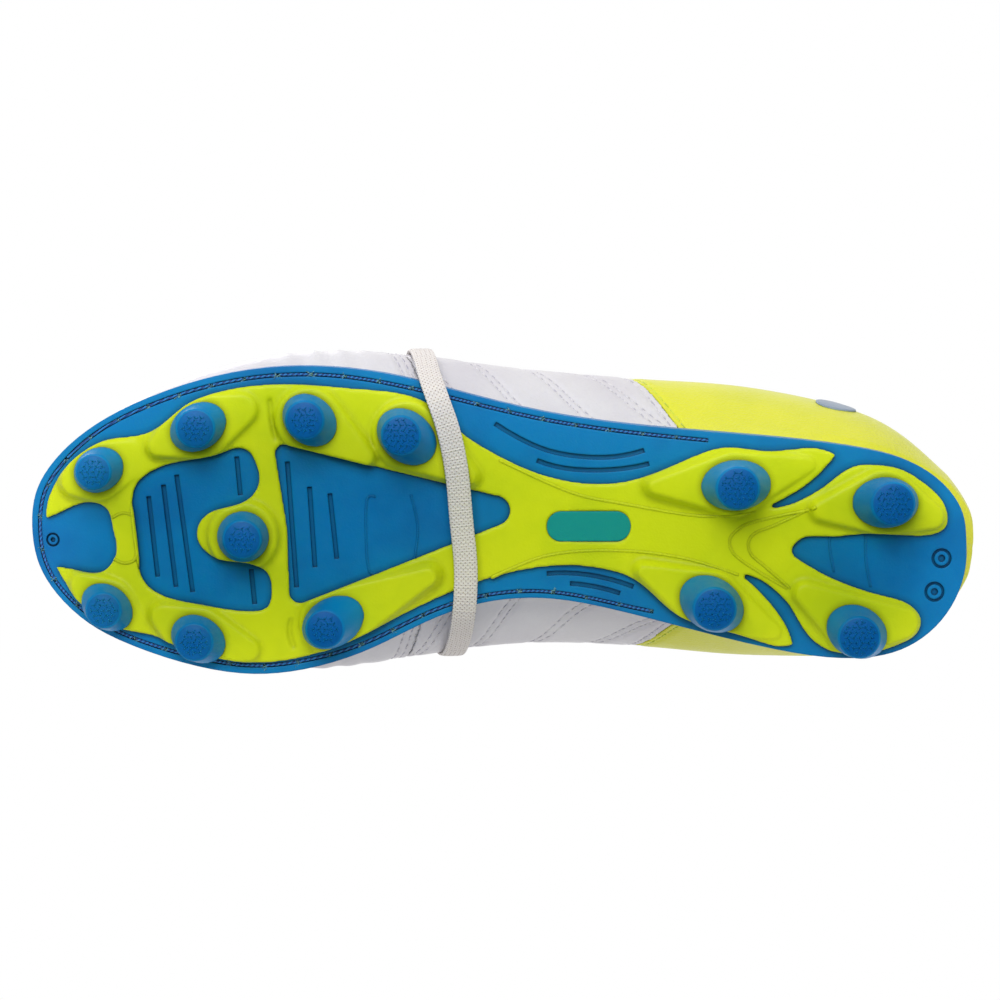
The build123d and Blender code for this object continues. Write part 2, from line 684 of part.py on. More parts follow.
def make_tongue_layer(outer, inner):
    """One layer of the tongue, between two forms."""
    with BuildPart() as made:
        add(prism(tongue_plan(), INSTEP_FOOT))
        add(outer, mode=Mode.INTERSECT)
        add(inner, mode=Mode.SUBTRACT)
    return made


tongue_top = WALL + SEAT_GAP
tongue_core = form(tongue_top + TONGUE_FACE)
tongue_face = make_tongue_layer(form(tongue_top), tongue_core)
tongue_padding = make_tongue_layer(tongue_core, form(tongue_top + TONGUE_FACE + TONGUE_PADDING))

with BuildPart() as heel_patch:
    with BuildSketch(Plane.XZ.offset(-CREST_Y)):
        with BuildLine():
            Spline(*PATCH, periodic=True)
        make_face()
    extrude(amount=HALF_SPAN)
    add(form(-PATCH_THICK), mode=Mode.INTERSECT)
    add(outer_form, mode=Mode.SUBTRACT)


# ---------------------------------------------------------------- lace
def lacing_plan():
    """Plan of the lacing: a bar at the front, then crosses between the eyelets."""
    lateral, medial = eyelets[0::2], eyelets[1::2]
    runs = [(lateral[0], medial[0])]
    for row in range(len(EYELET_ROWS) - 1):
        runs.append((lateral[row], medial[row + 1]))
        runs.append((medial[row], lateral[row + 1]))
    with BuildSketch() as made:
        add(band_plan(runs, LACE_WIDTH))
        with Locations(*eyelets):
            Circle(LACE_WIDTH / 2)
    return made.sketch


lacing_form = form(-EYESTAY_THICK - LACE_THICK)
with BuildPart() as lacing:
    add(lacing_form)
    add(eyestay_form, mode=Mode.SUBTRACT)
    add(prism(lacing_plan(), INSTEP_FOOT), mode=Mode.INTERSECT)
with BuildPart() as lace_pegs:
    add(lacing_form)
    add(foot_form, mode=Mode.SUBTRACT)
    add(prism(eyelet_plan(LACE_PEG_RADIUS), INSTEP_FOOT), mode=Mode.INTERSECT)
lacing.part = lacing.part + lace_pegs.part


def wrap_station(distance):
    """The lace's cross-section at a distance along its route round the boot."""
    spot = wrap_route.position_at(distance)
    along = wrap_route.tangent_at(distance)
    outward = spot - Vector(spot.X, *WRAP_MIDDLE)
    across = along.cross(outward).normalized()
    outward = across.cross(along).normalized()
    corners = []
    for side, face in ((-1, -1), (1, -1), (1, 1), (-1, 1)):
        corners.append(spot + across * (side * LACE_WIDTH / 2) + outward * (face * LACE_THICK / 2))
    return Wire.make_polygon(corners, close=True)


wrap_route = Spline(*WRAP_ROUTE)
with BuildPart() as lace_wrap:
    stations = [wrap_station(index / WRAP_STATIONS) for index in range(WRAP_STATIONS + 1)]
    loft([Face(station) for station in stations], ruled=True)

with BuildPart() as lace_knot:
    with BuildSketch(Plane.XY.offset(WRAP_ROUTE[0][2] + LACE_THICK)):
        with Locations((WRAP_ROUTE[0][0], (WRAP_ROUTE[0][1] + WRAP_ROUTE[-1][1]) / 2)):
            RectangleRounded(KNOT_SIZE[0], KNOT_SIZE[1], KNOT_ROUND)
    extrude(amount=KNOT_SIZE[2])
    fillet(lace_knot.faces().sort_by(Axis.Z)[-1].edges(), KNOT_ROUND)

pieces = {
    "outsole_plate": outsole_plate, "sole_web": sole_web, "arch_badge": arch_badge,
    "sole_stitching": sole_stitching, **studs,
    "lasting_board": lasting_board, "sockliner": sockliner,
    "vamp": vamp, "quarter_lateral": quarter_lateral, "quarter_medial": quarter_medial,
    "heel_panel_lateral": heel_panel_lateral, "heel_panel_medial": heel_panel_medial,
    "heel_patch": heel_patch, "toe_puff": toe_puff, "vamp_backing": vamp_backing,
    "heel_counter": heel_counter, "collar_foam": collar_foam, "vamp_lining": vamp_lining,
    "heel_lining": heel_lining, "eyestay_lateral": eyestay_lateral, "eyestay_medial": eyestay_medial,
    "tongue_face": tongue_face, "tongue_padding": tongue_padding, "lacing": lacing,
    "lace_wrap": lace_wrap, "lace_knot": lace_knot,
}  # fmt: skip

# ---------------------------------------------------------------- hand over, in the boot's own frame
footprint = Compound([piece.part for piece in pieces.values()]).bounding_box()
origin = Vector(footprint.center().X, footprint.center().Y, footprint.min.Z)
print("origin", origin, "size", footprint.size)
os.makedirs("parts", exist_ok=True)
for name, piece in pieces.items():
    piece.part = piece.part.moved(Location(-origin))
    piece.part.label = name
    export_step(piece.part, f"parts/{name}.step")
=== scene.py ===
"""Soccer cleat seen from below: soft upper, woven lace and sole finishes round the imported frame."""

import math
import random

import bpy
import numpy as np
from mathutils import Matrix, Vector
from mathutils.bvhtree import BVHTree


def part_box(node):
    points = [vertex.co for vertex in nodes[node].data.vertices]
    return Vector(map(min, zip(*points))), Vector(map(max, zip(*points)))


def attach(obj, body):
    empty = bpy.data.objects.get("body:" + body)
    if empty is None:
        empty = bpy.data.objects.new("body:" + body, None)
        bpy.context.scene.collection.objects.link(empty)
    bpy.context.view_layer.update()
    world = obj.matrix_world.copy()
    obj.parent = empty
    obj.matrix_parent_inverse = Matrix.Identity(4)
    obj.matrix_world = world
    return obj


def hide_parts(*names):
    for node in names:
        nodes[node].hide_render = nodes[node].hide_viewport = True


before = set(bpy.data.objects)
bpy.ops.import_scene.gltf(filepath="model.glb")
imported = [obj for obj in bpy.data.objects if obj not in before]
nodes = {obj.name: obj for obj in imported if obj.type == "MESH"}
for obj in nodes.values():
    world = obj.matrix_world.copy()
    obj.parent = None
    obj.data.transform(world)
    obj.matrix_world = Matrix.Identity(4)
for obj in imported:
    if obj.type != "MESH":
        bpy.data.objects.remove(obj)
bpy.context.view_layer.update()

MM = 0.001
BADGE_CENTRE = (26.5, 2.2)  # the arch badge in part.py's outlines
badge_low, badge_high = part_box("arch_badge")
SHIFT = (badge_low + badge_high) / 2 - Vector((*BADGE_CENTRE, 0)) * MM
THROAT_MIDDLE = 3.4  # y of the throat's middle line in the outlines, in millimetres
MIDDLE_Y = THROAT_MIDDLE * MM + SHIFT.y  # the same in the row frame, in metres
INSIDE_Z = 34 * MM  # a height inside the foot's cavity
LACE_WIDTH, LACE_THICK = 7.0 * MM, 1.3 * MM

BLUE = (0.0, 0.20, 0.50, 1)
BLUE_DEEP = (0.0, 0.15, 0.42, 1)
STUD_BLUE = (0.0, 0.25, 0.56, 1)
TIP_BLUE = (0.0, 0.155, 0.43, 1)
MARK_BLUE = (0.01, 0.34, 0.68, 1)
LIME = (0.69, 0.77, 0.008, 1)
LIME_SHADE = (0.58, 0.69, 0.006, 1)
LIME_LEATHER = (0.76, 0.76, 0.025, 1)
LIME_LEATHER_SHADE = (0.66, 0.68, 0.015, 1)
WHITE = (0.72, 0.70, 0.73, 1)
WHITE_SHADE = (0.62, 0.59, 0.64, 1)
LACE_COLOUR = (0.80, 0.75, 0.72, 1)
# The lace's pit colour below is painted shade for the weave's pits.
LACE_PIT_SHADE = (0.30, 0.19, 0.15, 1)
TEAL = (0.004, 0.30, 0.30, 1)
WAVE_BANDS = 0.318  # a wave texture of scale WAVE_BANDS / pitch has about one band per pitch
KNIT_BANDS = 0.3125  # the same for the knits
PIT_PITCH, RIB_PITCH = 0.00098, 0.0006  # metres between the lace's pits, and between its ribs


def spot(x, y, z):
    """A point of part.py's outlines, in the row frame, in metres."""
    return Vector((x * MM + SHIFT.x, y * MM + SHIFT.y, z * MM))


def outline_places(places):
    """x, y and z of an array of points in part.py's outlines, in millimetres."""
    return (places[:, 0] - SHIFT.x) / MM, (places[:, 1] - SHIFT.y) / MM, places[:, 2] / MM


# ---------------------------------------------------------------- materials
def start_material(name, roughness, **sockets):
    """A node material and its tree, shader and object coordinates."""
    material = bpy.data.materials.new(name)
    material.use_nodes = True
    tree = material.node_tree
    shader = tree.nodes["Principled BSDF"]
    shader.inputs["Roughness"].default_value = roughness
    for socket, value in sockets.items():
        shader.inputs[socket.replace("_", " ")].default_value = value
    place = tree.nodes.new("ShaderNodeTexCoord").outputs["Object"]
    return material, tree, shader, place


def noise(tree, place, scale, detail=3.0):
    """Cloudy noise from 0 to 1."""
    node = tree.nodes.new("ShaderNodeTexNoise")
    node.inputs["Scale"].default_value = scale
    node.inputs["Detail"].default_value = detail
    tree.links.new(place, node.inputs["Vector"])
    return node.outputs["Fac"]


def mixed(tree, factor, first, second, low=0.3, high=0.7):
    """Two colours, mixed by a factor between low and high."""
    ramp = tree.nodes.new("ShaderNodeValToRGB")
    ramp.color_ramp.elements[0].position = low
    ramp.color_ramp.elements[0].color = first
    ramp.color_ramp.elements[1].position = high
    ramp.color_ramp.elements[1].color = second
    tree.links.new(factor, ramp.inputs["Fac"])
    return ramp.outputs["Color"]


def spread(tree, factor, low, high):
    """A factor mapped from 0..1 to low..high."""
    node = tree.nodes.new("ShaderNodeMapRange")
    node.inputs["To Min"].default_value = low
    node.inputs["To Max"].default_value = high
    tree.links.new(factor, node.inputs["Value"])
    return node.outputs["Result"]


def bumped(tree, shader, height, distance, strength=1.0, under=None):
    """Lets a height raise the shader's surface, on top of another normal if one is given."""
    node = tree.nodes.new("ShaderNodeBump")
    node.inputs["Distance"].default_value = distance
    node.inputs["Strength"].default_value = strength
    tree.links.new(height, node.inputs["Height"])
    if under:
        tree.links.new(under, node.inputs["Normal"])
    tree.links.new(node.outputs["Normal"], shader.inputs["Normal"])
    return node.outputs["Normal"]


def cells(tree, place, scale):
    """Distance from the nearest of many scattered points."""
    node = tree.nodes.new("ShaderNodeTexVoronoi")
    node.inputs["Scale"].default_value = scale
    tree.links.new(place, node.inputs["Vector"])
    return node.outputs["Distance"]


def waves(tree, place, direction, scale, distortion=0.0, detail_scale=1.0):
    """Soft bands from 0 to 1."""
    node = tree.nodes.new("ShaderNodeTexWave")
    node.bands_direction = direction
    node.inputs["Scale"].default_value = scale
    node.inputs["Distortion"].default_value = distortion
    node.inputs["Detail Scale"].default_value = detail_scale
    tree.links.new(place, node.inputs["Vector"])
    return node.outputs["Fac"]


def product(tree, first, second):
    """Two factors, multiplied."""
    node = tree.nodes.new("ShaderNodeMath")
    node.operation = "MULTIPLY"
    tree.links.new(first, node.inputs[0])
    tree.links.new(second, node.inputs[1])
    return node.outputs[0]


EDGE_RADIUS = 0.0007  # how softly moulded edges catch the light
NOOK_SHADE_DEPTH = 0.0022  # how near another surface makes the painted shade of a nook, in metres
TIP_NOOK_SHADE_DEPTH = 0.0001  # the same for the painted shade on the small marks of the stud tips


def moulded(name, colour, shade, roughness, nook_shade_depth=NOOK_SHADE_DEPTH):
    """Moulded satin plastic: soft cloudiness if it has a shade, flow texture, scuffs, and painted shade
    that darkens the colour in nooks.
    """
    material, tree, shader, place = start_material(
        name, roughness, Specular_IOR_Level=0.2, Coat_Weight=0.02, Coat_Roughness=0.3
    )
    # Painted shade: an ambient occlusion node darkens the base colour wherever another surface is near.
    nook_shade = tree.nodes.new("ShaderNodeAmbientOcclusion")
    nook_shade.samples = 6
    nook_shade.inputs["Distance"].default_value = nook_shade_depth
    nook_shade.inputs["Color"].default_value = colour
    if shade:
        cloud = mixed(tree, noise(tree, place, scale=45), shade, colour, low=0.3, high=0.55)
        tree.links.new(cloud, nook_shade.inputs["Color"])
    tree.links.new(nook_shade.outputs["Color"], shader.inputs["Base Color"])
    scuffs = noise(tree, place, scale=420, detail=6)
    tree.links.new(spread(tree, scuffs, roughness - 0.1, roughness + 0.16), shader.inputs["Roughness"])
    rounded = tree.nodes.new("ShaderNodeBevel")
    rounded.samples = 4
    rounded.inputs["Radius"].default_value = EDGE_RADIUS
    flow = noise(tree, place, scale=1500, detail=4)
    bumped(tree, shader, flow, distance=0.00006, under=rounded.outputs["Normal"])
    return material


def leather(name, colour, shade, grain, depth):
    """Fine-grained synthetic leather: pebbled cells, pores and a faint sheen."""
    material, tree, shader, place = start_material(
        name, 0.42, Sheen_Weight=0.12, Sheen_Roughness=0.5, Coat_Weight=0.08, Coat_Roughness=0.35
    )
    cloud = mixed(tree, noise(tree, place, scale=30), shade, colour, low=0.25, high=0.6)
    tree.links.new(cloud, shader.inputs["Base Color"])
    pebble = bumped(tree, shader, cells(tree, place, grain), depth)
    pores = noise(tree, place, scale=3 * grain, detail=5)
    bumped(tree, shader, pores, depth / 2, strength=0.7, under=pebble)
    shine = spread(tree, noise(tree, place, scale=200), low=0.34, high=0.52)
    tree.links.new(shine, shader.inputs["Roughness"])
    return material


def knit(name, colour, shade, pitch, across="Z"):
    """Knitted or brushed textile: diagonal ribs, crossed by ribs along one axis, at the given pitch, with
    painted shade in the low valleys between them.
    """
    material, tree, shader, place = start_material(name, 0.85, Sheen_Weight=0.4, Sheen_Roughness=0.6)
    diagonal = waves(tree, place, "DIAGONAL", KNIT_BANDS / pitch, distortion=1.5)
    crossing = waves(tree, place, across, KNIT_BANDS / pitch, distortion=1.5)
    loops = product(tree, diagonal, crossing)
    # Painted shade: the shade colour fills the low valleys of the loops, where the bump is lowest.
    tree.links.new(mixed(tree, loops, shade, colour, low=0.1, high=0.6), shader.inputs["Base Color"])
    bumped(tree, shader, loops, distance=pitch * 0.3)
    return material


def woven(name):
    """Flat woven lace: fine ribs on its UV map, with rows of small pits, painted darker as shade."""
    material, tree, shader, _ = start_material(name, 0.82, Sheen_Weight=0.3, Sheen_Roughness=0.5)
    turned = tree.nodes.new("ShaderNodeMapping")
    turned.inputs["Rotation"].default_value = (0, 0, math.radians(45))
    tree.links.new(tree.nodes.new("ShaderNodeUVMap").outputs["UV"], turned.inputs["Vector"])
    place = turned.outputs["Vector"]
    columns = waves(tree, place, "X", WAVE_BANDS / PIT_PITCH, distortion=0.5, detail_scale=900)
    rows = waves(tree, place, "Y", WAVE_BANDS / PIT_PITCH, distortion=0.5, detail_scale=900)
    pits = product(tree, columns, rows)
    # Painted shade: the colour darkens to a brown in the pits, where the yarn bump is lowest.
    weave_with_pit_shade = mixed(tree, pits, LACE_COLOUR, LACE_PIT_SHADE, low=0.55, high=0.98)
    tree.links.new(weave_with_pit_shade, shader.inputs["Base Color"])
    ribs = waves(tree, place, "DIAGONAL", WAVE_BANDS / RIB_PITCH)
    rib_normal = bumped(tree, shader, ribs, distance=0.00012, strength=0.7)
    yarn = tree.nodes.new("ShaderNodeMath")
    yarn.operation = "SUBTRACT"
    yarn.inputs[0].default_value = 1.0
    tree.links.new(pits, yarn.inputs[1])
    bumped(tree, shader, yarn.outputs[0], distance=0.0002, strength=0.6, under=rib_normal)
    return material


def thread(name, colour, shade):
    """Twisted thread: fine diagonal plies, with painted shade in the grooves between them."""
    material, tree, shader, place = start_material(name, 0.6, Sheen_Weight=0.3)
    plies = waves(tree, place, "DIAGONAL", scale=420)
    # Painted shade: the shade colour fills the low grooves between the plies, where the bump is lowest.
    tree.links.new(mixed(tree, plies, shade, colour), shader.inputs["Base Color"])
    bumped(tree, shader, plies, distance=0.00015)
    return material


plate_blue = moulded("plate_blue", BLUE, BLUE_DEEP, 0.36)
stud_blue = moulded("stud_blue", STUD_BLUE, BLUE, 0.42)
tip_blue = moulded("tip_blue", TIP_BLUE, None, 0.42, TIP_NOOK_SHADE_DEPTH)
mark_blue = moulded("mark_blue", MARK_BLUE, None, 0.3, TIP_NOOK_SHADE_DEPTH)
web_lime = moulded("web_lime", LIME, LIME_SHADE, 0.34)
badge_teal = moulded("badge_teal", TEAL, None, 0.4)
white_leather = leather("white_leather", WHITE, WHITE_SHADE, 900, 0.0001)
lime_leather = leather("lime_leather", LIME_LEATHER, LIME_LEATHER_SHADE, 1100, 0.00016)
patch_leather = leather("patch_leather", (0.25, 0.32, 0.42, 1), (0.2, 0.26, 0.36, 1), 900, 0.00008)
lining_knit = knit("lining_knit", (0.55, 0.56, 0.6, 1), (0.3, 0.31, 0.35, 1), 0.0012)
tongue_knit = knit("tongue_knit", (0.75, 0.75, 0.78, 1), (0.5, 0.5, 0.55, 1), 0.0014, "Y")
sockliner_knit = knit("sockliner_knit", (0.12, 0.13, 0.16, 1), (0.05, 0.055, 0.07, 1), 0.0012, "Y")
foam = knit("foam", (0.7, 0.7, 0.72, 1), (0.55, 0.55, 0.58, 1), 0.0008)
board = knit("board", (0.6, 0.55, 0.46, 1), (0.5, 0.45, 0.38, 1), 0.0011)
lace_weave = woven("lace_weave")
blue_thread = thread("blue_thread", (0.006, 0.20, 0.60, 1), (0.001, 0.05, 0.25, 1))
fray_thread = thread("fray_thread", (0.18, 0.42, 0.45, 1), (0.03, 0.16, 0.26, 1))
lime_thread = thread("lime_thread", (0.66, 0.76, 0.05, 1), (0.45, 0.55, 0.02, 1))
white_thread = thread("white_thread", (0.72, 0.70, 0.74, 1), (0.5, 0.48, 0.54, 1))


# ---------------------------------------------------------------- mesh helpers
def finish_piece(piece, material, body):
    """Gives a piece its material, smooth shading and body."""
    piece.data.materials.clear()
    piece.data.materials.append(material)
    if piece.type == "MESH":
        piece.data.shade_smooth()
    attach(piece, body)
    return piece


def link(name, data):
    """A new object in the scene, from a mesh, curve, camera or light."""
    piece = bpy.data.objects.new(name, data)
    bpy.context.scene.collection.objects.link(piece)
    return piece


def new_piece(name, points, faces):
    """A new object in the scene, from points and faces."""
    mesh = bpy.data.meshes.new(name)
    mesh.from_pydata(points, [], faces)
    return link(name, mesh)


def add_softening(piece, voxel, smoothing):
    """Modifiers that remesh a piece evenly and soften its edges."""
    voxels = piece.modifiers.new("voxels", "REMESH")
    voxels.mode = "VOXEL"
    voxels.voxel_size = voxel
    voxels.use_smooth_shade = True
    soften = piece.modifiers.new("soften", "SMOOTH")
    soften.factor = 0.5
    soften.iterations = smoothing


def remeshed(node, name, voxel, smoothing):
    """A new piece: the CAD node's solid, remeshed evenly with softened edges."""
    piece = link(name, nodes[node].data.copy())
    add_softening(piece, voxel, smoothing)
    graph = bpy.context.evaluated_depsgraph_get()
    mesh = bpy.data.meshes.new_from_object(piece.evaluated_get(graph))
    piece.modifiers.clear()
    piece.data = mesh
    return piece


def read_points(mesh):
    """A mesh's vertex places and normals as arrays."""
    count = len(mesh.vertices)
    places = np.empty(count * 3, np.float32)
    mesh.vertices.foreach_get("co", places)
    normals = np.empty(count * 3, np.float32)
    mesh.vertex_normals.foreach_get("vector", normals)
    return places.reshape(-1, 3), normals.reshape(-1, 3)


def push(piece, amounts, normals, places):
    """Moves a piece's points along their normals, by an amount each."""
    moved = places + normals * amounts[:, None]
    piece.data.vertices.foreach_set("co", moved.astype(np.float32).ravel())
    piece.data.update()


LENGTHWISE = 0.2  # how much a place along the boot counts for the direction away from the foot
SIDE_SHARPNESS = 4  # how fast the outer side ends where the surface turns inward


def outer_side(places, normals):
    """1 on the faces that look away from the foot, 0 on those that look at it."""
    away = places.copy()
    away[:, 0] *= LENGTHWISE
    away[:, 1] -= MIDDLE_Y
    away[:, 2] -= INSIDE_Z
    away /= np.linalg.norm(away, axis=1)[:, None] + 1e-9
    return np.clip((away * normals).sum(1) * SIDE_SHARPNESS, 0, 1)


# ---------------------------------------------------------------- seams, as lines in the side view
QUILT_LEAN = -0.95  # forward lean of the quilting rows, per millimetre of height
QUILT_STARTS = (-9, 13, 35.5, 57)  # x of each double row at the height of the plate
QUILT_GAP = 2.9
SEAM_DEPTH, SEAM_WIDTH = 0.5, 0.9  # of the dent along a stitched row
SEAM_LEAN = 0.85  # a leaning row's distance across it, per millimetre along x
VAMP_SEAM = [(-19, 10), (-24, 24), (-33, 45), (-42, 62), (-48, 90)]
HEEL_SEAM = [(58, 10), (54, 26), (45, 44), (37, 62), (31, 84), (27, 110)]
TOPLINE = [(40, 101.5), (46, 98.5), (60, 88), (78, 79.5), (96, 77), (112, 80.5), (124, 88), (131, 92)]
PLATE_LEVEL = 18.0


def through(points, count=10):
    """Closely spaced points on a smooth line through side-view points."""
    line = []
    padded = [points[0], *points, points[-1]]
    for before, start, end, after in zip(padded, padded[1:], padded[2:], padded[3:]):
        for share in np.linspace(0, 1, count, endpoint=False):
            pair = []
            for p, q, r, t in zip(before, start, end, after):
                bend = 2 * q + (r - p) * share + (2 * p - 5 * q + 4 * r - t) * share**2
                pair.append((bend + (3 * q - p - 3 * r + t) * share**3) / 2)
            line.append(tuple(pair))
    return [*line, points[-1]]


def seam_x(line, heights):
    """x of a side-view seam at each height."""
    return np.interp(heights, [z for _, z in line], [x for x, _ in line])


def shifted(line, distance):
    """The same side-view line, nearer the heel by a distance."""
    return [(x + distance, z) for x, z in line]


vamp_seam, heel_seam = through(VAMP_SEAM), through(HEEL_SEAM)
quilt_rows = []
for start in QUILT_STARTS:
    for offset in (-QUILT_GAP / 2, QUILT_GAP / 2):
        quilt_rows.append([(start + offset + QUILT_LEAN * (z - PLATE_LEVEL), z) for z in range(10, 112)])


def groove(places, line, depth, width):
    """How far a stitched row pulls the skin in at each point, in metres."""
    x, _, z = outline_places(places)
    across = (x - seam_x(line, z)) * SEAM_LEAN
    return -depth * MM * np.exp(-((across / width) ** 2))


HEEL_BULGE, HEEL_END = 3.6, 4.6  # fullness round the sides and at the very back, in millimetres
HEEL_START, HEEL_RUN = 84, 48  # where along x it starts, and over what length it grows
HEEL_HEIGHT, HEEL_SPREAD = 36, 20  # height where it is fullest, and its reach up and down
HEEL_FOOT, HEEL_RISE = 21.5, 6  # height where it starts, and over what height it grows
END_START, END_RUN = 122, 10  # the same along x, for the fullness at the very back
END_MIDDLE, END_HALF = 7, 17  # its y and its reach to the sides


def heel_dome(places):
    """How far the padded heel bulges past the plain form at each point, in metres."""
    x, y, z = outline_places(places)
    back = np.clip((x - HEEL_START) / HEEL_RUN, 0, 1)
    above_plate = np.clip((z - HEEL_FOOT) / HEEL_RISE, 0, 1)
    height = np.exp(-(((z - HEEL_HEIGHT) / HEEL_SPREAD) ** 2)) * above_plate
    end = np.clip((x - END_START) / END_RUN, 0, 1)
    middle = np.exp(-(((y - END_MIDDLE) / END_HALF) ** 2)) * end
    return (HEEL_BULGE * back**1.5 + HEEL_END * middle) * height * MM


CREASE_X, CREASE_REACH, CREASE_DEPTH = -52, 17, 0.22  # creases where the foot bends, in millimetres


def soft_skin(node, voxel, rows, body="boot", material=white_leather, slot="white_upper", swell=0.0):
    """A panel of the upper: even mesh, stitched rows pulled in and the skin puffed between them."""
    piece = remeshed(node, "soft_" + node, voxel, 5)
    places, normals = read_points(piece.data)
    outside = outer_side(places, normals)
    x, y, z = places[:, 0] / MM, places[:, 1] / MM, places[:, 2] / MM
    amounts = np.zeros(len(places))
    for line in rows:
        amounts += groove(places, line, SEAM_DEPTH, SEAM_WIDTH)
    flex = np.exp(-(((x - CREASE_X) / CREASE_REACH) ** 2))
    amounts += flex * CREASE_DEPTH * MM * np.sin(x * 0.75 + 0.05 * z + np.sin(z * 0.2) + 0.04 * y)
    amounts += swell * MM * np.sin(x * 0.11) * np.sin(z * 0.13)
    amounts += heel_dome(places)
    push(piece, amounts * outside, normals, places)
    finish_piece(piece, material, body)
    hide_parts(node)
    return piece


VAMP_ROWS = [shifted(vamp_seam, -2), shifted(vamp_seam, -4.5)]
QUARTER_EDGE = [shifted(heel_seam, -2)]
HEEL_EDGE = [shifted(heel_seam, 2)]
vamp = soft_skin("vamp", 0.00068, VAMP_ROWS, swell=0.1)
quarters = []
for side in ("lateral", "medial"):
    quarters.append(soft_skin("quarter_" + side, 0.0006, quilt_rows + QUARTER_EDGE, swell=0.15))
LIME_SKIN = {"material": lime_leather, "slot": "lime_upper", "swell": 0.2}
heel_panels = []
for side in ("lateral", "medial"):
    heel_panels.append(soft_skin("heel_panel_" + side, 0.0006, HEEL_EDGE, **LIME_SKIN))
for side in ("lateral", "medial"):
    soft_skin("eyestay_" + side, 0.0005, [])


# ---------------------------------------------------------------- stitches on the upper
def surface_tree(pieces):
    """One search tree over several pieces."""
    points, faces = [], []
    for piece in pieces:
        start = len(points)
        points += [v.co.copy() for v in piece.data.vertices]
        faces += [[start + i for i in p.vertices] for p in piece.data.polygons]
    return BVHTree.FromPolygons(points, faces)


def add_tube(faces, base, rings, sides):
    """The faces of a closed tube, whose points start at an index and lie in rings."""
    for ring in range(rings - 1):
        low = base + ring * sides
        high = low + sides
        for side in range(sides):
            after = (side + 1) % sides
            faces.append((low + side, low + after, high + after, high + side))
    faces.append(tuple(base + side for side in reversed(range(sides))))
    faces.append(tuple(base + (rings - 1) * sides + side for side in range(sides)))


def add_capsule(points, faces, start, end, radius, sides=6):
    """One stitch: a spindle between two points, its ends sunk to nothing."""
    along = (end - start).normalized()
    across = along.orthogonal().normalized()
    other = along.cross(across)
    base = len(points)
    shares = (0.0, 0.15, 0.5, 0.85, 1.0)
    for share in shares:
        girth = radius * math.sqrt(max(0.05, 1 - (2 * share - 1) ** 4))
        for side in range(sides):
            turn = 2 * math.pi * side / sides
            ring = across * math.cos(turn) + other * math.sin(turn)
            points.append(start.lerp(end, share) + ring * girth)
    add_tube(faces, base, len(shares), sides)


LONGEST_STEP = 2.5 * MM  # a path with a wider gap between its points is broken there
SIDE_REACH = 0.12  # metres from the middle plane, outside the whole boot


def stitch_mesh(name, paths, radius, length, gap, material):
    """Stitches of one length along paths of close points."""
    points, faces = [], []
    for path in paths:
        walked, begin = 0.0, None
        for first, second in zip(path, path[1:]):
            step = (second - first).length
            if step > LONGEST_STEP:
                walked, begin = 0.0, None
                continue
            if begin is None and walked >= 0:
                begin = first
            walked += step
            if begin is not None and walked >= length:
                add_capsule(points, faces, begin, second, radius)
                begin, walked = None, -gap
    return finish_piece(new_piece(name, points, faces), material, "boot")


def side_paths(lines, tree, lift, lowest):
    """Where side-view lines meet the surface that the tree holds, on both sides of the boot."""
    paths = []
    for line in lines:
        for side in (-1, 1):
            path = []
            for x, z in line:
                start = Vector((x * MM + SHIFT.x, side * SIDE_REACH, z * MM))
                hit, normal, _, _ = tree.ray_cast(start, Vector((0, -side, 0)), SIDE_REACH)
                if hit and z > lowest and normal.y * side > 0.05:
                    path.append(hit + normal * lift)
            paths.append(path)
    return paths


def fine(line, count=5):
    """The same side-view line with more points between its own."""
    result = []
    for (x0, z0), (x1, z1) in zip(line, line[1:]):
        result += [(x0 + (x1 - x0) * i / count, z0 + (z1 - z0) * i / count) for i in range(count)]
    return result


THREAD = 0.24 * MM  # radius of the upper's thread
UPPER_STITCH, UPPER_GAP = 2.7 * MM, 0.8 * MM
collar_row = [(x, z - 3) for x, z in through(TOPLINE)]
on_quarters = (surface_tree(quarters), "white_upper", white_thread)
on_vamp = (surface_tree([vamp]), "white_upper", white_thread)
on_heel = (surface_tree(heel_panels), "lime_upper", lime_thread)
seams = {
    "quarter_stitching": (quilt_rows, *on_quarters),
    "vamp_seam_stitching": (VAMP_ROWS, *on_vamp),
    "heel_seam_stitching": (HEEL_EDGE, *on_heel),
    "quarter_edge_stitching": (QUARTER_EDGE, *on_quarters),
    "collar_stitching": ([collar_row], *on_heel),
}
for name, (lines, tree, slot, material) in seams.items():
    paths = side_paths([fine(line) for line in lines], tree, THREAD * 0.35, PLATE_LEVEL)
    stitch_mesh(name, paths, THREAD, UPPER_STITCH, UPPER_GAP, material)

# ---------------------------------------------------------------- inner pieces
INNER = [  # node, voxel size in metres, material, slot, body
    ("heel_lining", 0.0008, lining_knit, "lining", "boot"),
    ("vamp_lining", 0.001, lining_knit, "lining", "boot"),
    ("sockliner", 0.001, sockliner_knit, "sockliner", "sockliner"),
    ("tongue_face", 0.0006, tongue_knit, "white_upper", "tongue"),
    ("tongue_padding", 0.0008, tongue_knit, "foam", "tongue"),
    ("collar_foam", 0.0008, foam, "foam", "boot"),
    ("heel_patch", 0.0003, patch_leather, "patch", "boot"),
]
for node, voxel, material, slot, body in INNER:
    piece = remeshed(node, "soft_" + node, voxel, 4)
    if node == "heel_patch":
        places, normals = read_points(piece.data)
        push(piece, heel_dome(places), np.tile((0, -1, 0), (len(places), 1)), places)
    finish_piece(piece, material, body)
    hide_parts(node)


# ---------------------------------------------------------------- lace
RIBBON_SIDES = 20
EDGE_POWER, FACE_POWER = 0.55, 0.7  # below 1, they square off the band's oval section
RIB_STEP, RIB_SWELL = 1.25 * MM, 0.1  # spacing of the cross ribs, and their share of the thickness


